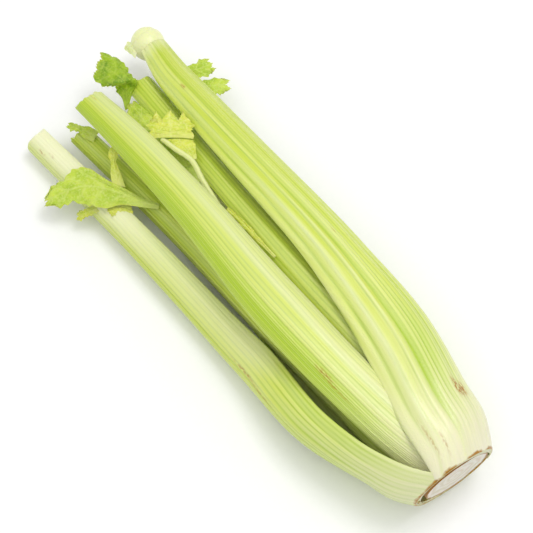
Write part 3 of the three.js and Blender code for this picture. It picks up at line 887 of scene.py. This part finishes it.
def streaked(tree, arc, along, narrow, short, layer, settings):
    """Noises drawn out along a stalk, one for each pair of a scale and a detail. The places arc and along,
    in millimetres, are multiplied by narrow and short, and layer picks a slice of the noise."""
    across = add(tree, "ShaderNodeMath", {0: arc, 1: narrow}, operation="MULTIPLY")
    upward = add(tree, "ShaderNodeMath", {0: along, 1: short}, operation="MULTIPLY")
    place = add(tree, "ShaderNodeCombineXYZ", {"X": across, "Y": upward, "Z": layer})
    return [add(tree, "ShaderNodeTexNoise", {"Vector": place, "Scale": scale, "Detail": detail})
            for scale, detail in settings]


def stalk_skin(name, stops, valley, rind, subsurface):
    """Celery skin: a thin waxy layer over wet green flesh, so it is smooth, softly glossy and a little
    see-through. Pale strings stand out on the ribs and the green shows between them."""
    material, tree = new_material(name)
    along, arc, ridge, phase, cut, wall, green, bruise, near_cut = [
        add(tree, "ShaderNodeAttribute", attribute_name=label).outputs["Fac"]
        for label in ("along", "arc", "ridge", "phase", "cut", "wall", "blush", "bruise", "near_cut")
    ]
    height = add(tree, "ShaderNodeMath", {0: along, 1: SKIN_LENGTH}, operation="DIVIDE")
    base = ramp(add(tree, "ShaderNodeValToRGB", {"Fac": height}), stops)
    # Long streaks: noise about 1.5 mm wide across the stalk and 60 mm long, and others 6 mm wide.
    streak, broad = streaked(tree, arc, along, 0.65, 0.017, wall, [(1.0, 3.0), (0.27, 2.0)])

    # The valleys between the ribs are a deeper green, more so away from the butt.
    low = add(tree, "ShaderNodeMapRange", {
        "Value": ridge, "From Min": 0.12, "From Max": 0.62, "To Min": 1.0, "To Max": 0.0,
    }, interpolation_type="SMOOTHSTEP")
    patchy = add(tree, "ShaderNodeMapRange", {
        "Value": streak, "From Min": 0.3, "From Max": 0.7, "To Min": 0.35, "To Max": 1.0,
    })
    grown_up = add(tree, "ShaderNodeMapRange", {
        "Value": along, "From Min": 10.0, "From Max": 55.0, "To Min": 0.08, "To Max": 0.85,
    })
    amount = add(tree, "ShaderNodeMath", {0: low, 1: patchy}, operation="MULTIPLY")
    amount = add(tree, "ShaderNodeMath", {0: amount, 1: grown_up}, operation="MULTIPLY")
    skin = add(tree, "ShaderNodeMix", {"Factor": amount, "A": base, "B": colour(valley)}, data_type="RGBA")

    # Broad streaks, some pale and some green.
    skin = tinted(tree, skin, [
        (broad, 0.42, 0.75, 0.0, 0.5, "#ecf1ae"), (broad, 0.46, 0.25, 0.0, 0.5, "#b5cb3c"),
    ])
    # Some parts are greener between their ribs and others paler, as their own tints and, down the sides of
    # the top and outer left stalks, as painted shade and painted light; the inner side is paler.
    between_ribs = add(tree, "ShaderNodeMath", {0: ridge, 1: -0.85, 2: 1.1}, operation="MULTIPLY_ADD")
    lush = add(tree, "ShaderNodeMath", {0: green, 1: between_ribs}, operation="MULTIPLY", use_clamp=True)
    pale = add(tree, "ShaderNodeMath", {0: green, 1: -0.9}, operation="MULTIPLY", use_clamp=True)
    # Brown scuffs follow the strings, and the skin has dried beside the cut butt.
    scuff = streaked(tree, arc, along, 1.1, 0.35, 9.0, [(1.0, 4.0)])[0]
    scuffed = add(tree, "ShaderNodeMapRange", {"Value": scuff, "From Min": 0.4, "From Max": 0.55})
    scuffed = add(tree, "ShaderNodeMath", {0: scuffed, 1: bruise}, operation="MULTIPLY", use_clamp=True)
    solid = add(tree, "ShaderNodeTexCoord").outputs["Object"]
    blotch = add(tree, "ShaderNodeTexNoise", {"Vector": solid, "Scale": 170.0, "Detail": 3.0})
    dried = add(tree, "ShaderNodeMath", {0: blotch, 1: 1.6, 2: near_cut}, operation="MULTIPLY_ADD")
    skin = tinted(tree, skin, [
        (lush, 0.0, 1.0, 0.0, 1.0, "#a9c81a"), (pale, 0.0, 1.0, 0.0, 1.0, "#eff0c4"),
        (wall, 0.0, 1.0, 0.0, 0.4, "#e3eca6"), (scuffed, 0.0, 1.0, 0.0, 1.0, "#a87400"),
        (dried, 1.45, 1.8, 0.0, 1.0, "#a87400"),
    ])

    # On the cut faces each string ends in a small green dot under a thin dry rim.
    share = add(tree, "ShaderNodeMath", {0: phase}, operation="FRACT")
    depth = add(tree, "ShaderNodeMath", {0: wall, 1: 2.6}, operation="MULTIPLY")
    here = add(tree, "ShaderNodeCombineXYZ", {"X": share, "Y": depth, "Z": 0.0})
    distance = add(tree, "ShaderNodeVectorMath", {0: here, 1: (0.5, 0.7, 0.0)},
                   operation="DISTANCE").outputs["Value"]
    flesh = tinted(tree, colour(rind), [
        (distance, 0.16, 0.28, 0.75, 0.0, "#b9c46a"), (wall, 0.05, 0.2, 0.5, 0.0, "#b59a50"),
    ])
    shown = add(tree, "ShaderNodeMix", {"Factor": cut, "A": skin, "B": flesh}, data_type="RGBA")

    # Blisters 1 mm across make the skin sparkle in places, and strings 0.3 mm wide run along it.
    cells = add(tree, "ShaderNodeTexNoise", {"Vector": solid, "Scale": 1000.0, "Detail": 1.0})
    wet = add(tree, "ShaderNodeMapRange", {
        "Value": broad, "From Min": 0.45, "From Max": 0.65, "To Min": 0.3, "To Max": 2.2,
    })
    cells = add(tree, "ShaderNodeMath", {0: cells, 1: wet}, operation="MULTIPLY")
    fibre = streaked(tree, arc, along, 3.2, 0.12, 2.0, [(1.0, 2.0)])[0]
    relief = add(tree, "ShaderNodeMath", {0: cells, 1: fibre}, operation="ADD")
    bump = add(tree, "ShaderNodeBump", {"Height": relief, "Strength": 0.5, "Distance": 0.0004})
    gloss = add(tree, "ShaderNodeMapRange", {"Value": streak, "To Min": 0.2, "To Max": 0.5})
    rough = add(tree, "ShaderNodeMix", {"Factor": cut, "A": gloss, "B": 0.6}, data_type="FLOAT")
    shader = add(tree, "ShaderNodeBsdfPrincipled", {
        "Base Color": shown, "Roughness": rough, "Normal": bump, "IOR": 1.42,
        "Coat Weight": 0.3, "Coat Roughness": 0.15,
        "Subsurface Weight": subsurface, "Subsurface Scale": 0.004, "Subsurface Radius": (0.8, 1.0, 0.35),
    })
    add(tree, "ShaderNodeOutputMaterial", {"Surface": shader})
    return material


def cut_flesh():
    """Cut celery stem: wet pale flesh with the stalks' edges as faint rings, dried brown at the rim."""
    material, tree = new_material("cut stem flesh")
    place = add(tree, "ShaderNodeTexCoord").outputs["Object"]
    rim = add(tree, "ShaderNodeAttribute", attribute_name="rim").outputs["Fac"]
    grain = add(tree, "ShaderNodeTexNoise", {"Vector": place, "Scale": 160.0, "Detail": 4.0})
    warp = add(tree, "ShaderNodeMath", {0: grain, 1: 9.0}, operation="MULTIPLY")
    turn = add(tree, "ShaderNodeMath", {0: rim, 1: 26.0, 2: warp}, operation="MULTIPLY_ADD")
    wave = add(tree, "ShaderNodeMath", {0: turn}, operation="SINE")
    wave = add(tree, "ShaderNodeMapRange", {"Value": wave, "From Min": -1.0, "From Max": 1.0})
    tone = ramp(add(tree, "ShaderNodeValToRGB", {"Fac": wave}), [
        (0, "#d6cdb6"), (0.5, "#dfd8c6"), (1, "#e6e1d4"),
    ])
    reach = add(tree, "ShaderNodeMath", {0: grain, 1: 0.16, 2: rim}, operation="MULTIPLY_ADD")
    shown = tinted(tree, tone, [(reach, 1.0, 1.06, 0.0, 1.0, "#a06c00")])
    bump = add(tree, "ShaderNodeBump", {"Height": grain, "Strength": 0.4, "Distance": 0.0006})
    shader = add(tree, "ShaderNodeBsdfPrincipled", {
        "Base Color": shown, "Roughness": 0.45, "Normal": bump, "IOR": 1.4,
        "Subsurface Weight": 0.2, "Subsurface Scale": 0.004,
    })
    add(tree, "ShaderNodeOutputMaterial", {"Surface": shader})
    return material


def leaf_skin(name, face, deep, vein, dry):
    """A celery leaf: a thin soft blade, darker between its paler veins, with a dried edge."""
    material, tree = new_material(name)
    place = add(tree, "ShaderNodeTexCoord").outputs["Object"]
    along, veins, edge = [add(tree, "ShaderNodeAttribute", attribute_name=label).outputs["Fac"]
                          for label in ("along", "vein", "edge")]
    cloud = add(tree, "ShaderNodeTexNoise", {"Vector": place, "Scale": 150.0, "Detail": 3.0})
    fine = add(tree, "ShaderNodeTexNoise", {"Vector": place, "Scale": 700.0, "Detail": 2.0})
    reach = add(tree, "ShaderNodeMath", {0: cloud, 1: 0.25, 2: edge}, operation="MULTIPLY_ADD")
    # Darker clouds about 7 mm across, broken by paler flecks between the small veins.
    shade = tinted(tree, colour(face), [
        (cloud, 0.35, 0.65, 0.0, 1.0, deep), (fine, 0.45, 0.7, 0.0, 0.6, vein),
        (veins, 0.0, 1.0, 0.0, 0.5, vein), (along, 0.0, 0.35, 0.7, 0.0, vein),
        (reach, 1.02, 1.15, 0.0, 0.5, dry),
    ])
    bump = add(tree, "ShaderNodeBump", {"Height": fine, "Strength": 0.35, "Distance": 0.0005})
    gloss = add(tree, "ShaderNodeMapRange", {"Value": cloud, "To Min": 0.35, "To Max": 0.55})
    surface = add(tree, "ShaderNodeBsdfPrincipled", {
        "Base Color": shade, "Roughness": gloss, "Normal": bump, "IOR": 1.42,
        "Subsurface Weight": 0.25, "Subsurface Scale": 0.002, "Subsurface Radius": (0.7, 1.0, 0.2),
    })
    add(tree, "ShaderNodeOutputMaterial", {"Surface": surface})
    return material


def floor_paper():
    """Matt white studio paper, with a faint grain 3 mm across."""
    material, tree = new_material("white studio paper")
    place = add(tree, "ShaderNodeTexCoord").outputs["Object"]
    grain = add(tree, "ShaderNodeTexNoise", {"Vector": place, "Scale": 300.0, "Detail": 2.0})
    tone = ramp(add(tree, "ShaderNodeValToRGB", {"Fac": grain}), [(0, "#f7f7f7"), (1, "#fbfbfb")])
    shader = add(tree, "ShaderNodeBsdfPrincipled", {
        "Base Color": tone, "Roughness": 0.9, "Specular IOR Level": 0.1,
    })
    add(tree, "ShaderNodeOutputMaterial", {"Surface": shader})
    return material


OUTER_SKIN = stalk_skin("waxy outer stalk skin", [
    (0, "#e9e3c8"), (0.06, "#e8e6b8"), (0.16, "#dfe690"), (0.3, "#d4df62"), (0.5, "#cddb52"), (1, "#c6d449"),
], "#9dba2c", "#dfe0b6", 0.15)
HEART_SKIN = stalk_skin("pale heart stalk skin", [
    (0, "#ece8c6"), (0.3, "#e2e5a6"), (1, "#dde394"),
], "#c6d268", "#e2e2bd", 0.2)
CUT_FLESH = cut_flesh()
GREEN_LEAF = leaf_skin("green leaf blade", "#9cb81c", "#6f9312", "#b4c84c", "#cfc83c")
LIGHT_LEAF = leaf_skin("light green leaf blade", "#c3d64a", "#a4be30", "#d2df7c", "#d9dd60")
PALE_LEAF = leaf_skin("young yellow leaf blade", "#d3da50", "#bccb3c", "#e2e68a", "#dbdc68")
LIGHT_LEAVES = (
    "leaf_left_broad", "leaf_heart_under", "leaf_right_upper", "leaf_right_lower", "leaf_tip_left",
)
LEAF_FINISHES = {
    **dict.fromkeys(LIGHT_LEAVES, LIGHT_LEAF),
    "leaf_green": GREEN_LEAF,
    "knuckle_flap": leaf_skin("torn pale sheath", "#dde4a4", "#cbd886", "#e9ecc4", "#e2dfb0"),
}


# ---------------------------------------------------------------- the pieces
def place_piece(piece, node):
    """Hands a finished piece over in place of its node."""
    piece.data.update()
    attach(piece, "root")
    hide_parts(node)


def finish_piece(piece, material):
    """Gives a piece its only material."""
    piece.data.materials.clear()
    piece.data.materials.append(material)


raise_ribs = rib_tree()
for order, (node, rows) in enumerate(STALKS.items()):
    heart = node.startswith("heart")
    skin = HEART_SKIN if heart else OUTER_SKIN
    lip, step = (HEART_LIP, HEART_STEP) if heart else (LIP, STALK_STEP)
    ribs, rib_height = RIBS[node][:2]
    piece = grown(stalk_base(node, rows, lip, step, order), raise_ribs, {
        "Ribs": float(ribs), "Rib height": rib_height * MM, "String height": STRING_HEIGHT * MM,
        "Wander": RIB_WANDER, "Seed": float(order), "Skin": skin,
    })
    place_piece(piece, node)

sweep_stem = stem_tree()
for node, points in STEMS.items():
    piece = grown(stem_path(node, points), sweep_stem, {
        "Radius": STEM_RADIUS * MM, "Flutes": 7.0, "Flute depth": 0.07, "Step": 1.2 * MM,
        "Tip radius": 0.9 * STEM_RADIUS * MM, "Place on a stalk": 270.0, "Skin": HEART_SKIN,
    })
    place_piece(piece, node)

for order, (node, rows) in enumerate(LEAVES.items()):
    piece = blade(node, rows, OUTLINES[node], order)
    finish_piece(piece, LEAF_FINISHES.get(node, PALE_LEAF))
    place_piece(piece, node)

cap = knuckle_cap()
finish_piece(cap, HEART_SKIN)
place_piece(cap, "knuckle")

disc = crown_disc()
finish_piece(disc, CUT_FLESH)
place_piece(disc, "crown")


# ---------------------------------------------------------------- studio
def studio_floor():
    """A level sheet of paper, 6 m square."""
    half = 3.0
    corners = [(-half, -half, 0), (half, -half, 0), (half, half, 0), (-half, half, 0)]
    mesh = bpy.data.meshes.new("studio_floor")
    mesh.from_pydata(corners, [], [(0, 1, 2, 3)])
    mesh.materials.append(floor_paper())
    in_scene("studio_floor", mesh)


def softbox(name, place, size, watts):
    """A square studio light that faces the head."""
    lamp = bpy.data.lights.new(name, "AREA")
    lamp.size = size
    lamp.energy = watts
    made = in_scene(name, lamp)
    made.location = place
    made.rotation_euler = (Vector(place) - Vector((0, 0, 0.03))).to_track_quat("Z", "Y").to_euler()


def studio_world(strength):
    """An even white glow from all round."""
    world = bpy.data.worlds.new("soft white room")
    world.use_nodes = True
    tree = world.node_tree
    tree.nodes.clear()
    glow = add(tree, "ShaderNodeBackground", {"Color": (1, 1, 1, 1), "Strength": strength})
    add(tree, "ShaderNodeOutputWorld", {"Surface": glow})
    bpy.context.scene.world = world


def studio_camera():
    """Looks down on the head from the butt's left, 66 degrees above level."""
    elevation, heading, distance = math.radians(66), math.radians(41.4), 0.8813
    level = math.cos(elevation)
    toward = Vector((-level * math.cos(heading), level * math.sin(heading), math.sin(elevation)))
    aim = Vector(((np.array([166.9, -4.9, 35.0]) + ORIGIN) * MM).tolist())
    lens = bpy.data.cameras.new("camera")
    lens.lens = 100
    lens.sensor_width = 36
    lens.clip_end = 20
    made = in_scene("camera", lens)
    made.location = aim + toward * distance
    made.rotation_euler = toward.to_track_quat("Z", "Y").to_euler()
    bpy.context.scene.camera = made


studio_floor()
studio_world(0.74)
softbox("key_softbox", (-0.1, -0.45, 1.4), 0.5, 6)
softbox("top_softbox", (0.0, 0.3, 1.5), 1.3, 4.5)
studio_camera()
bpy.context.scene.view_settings.view_transform = "Standard"
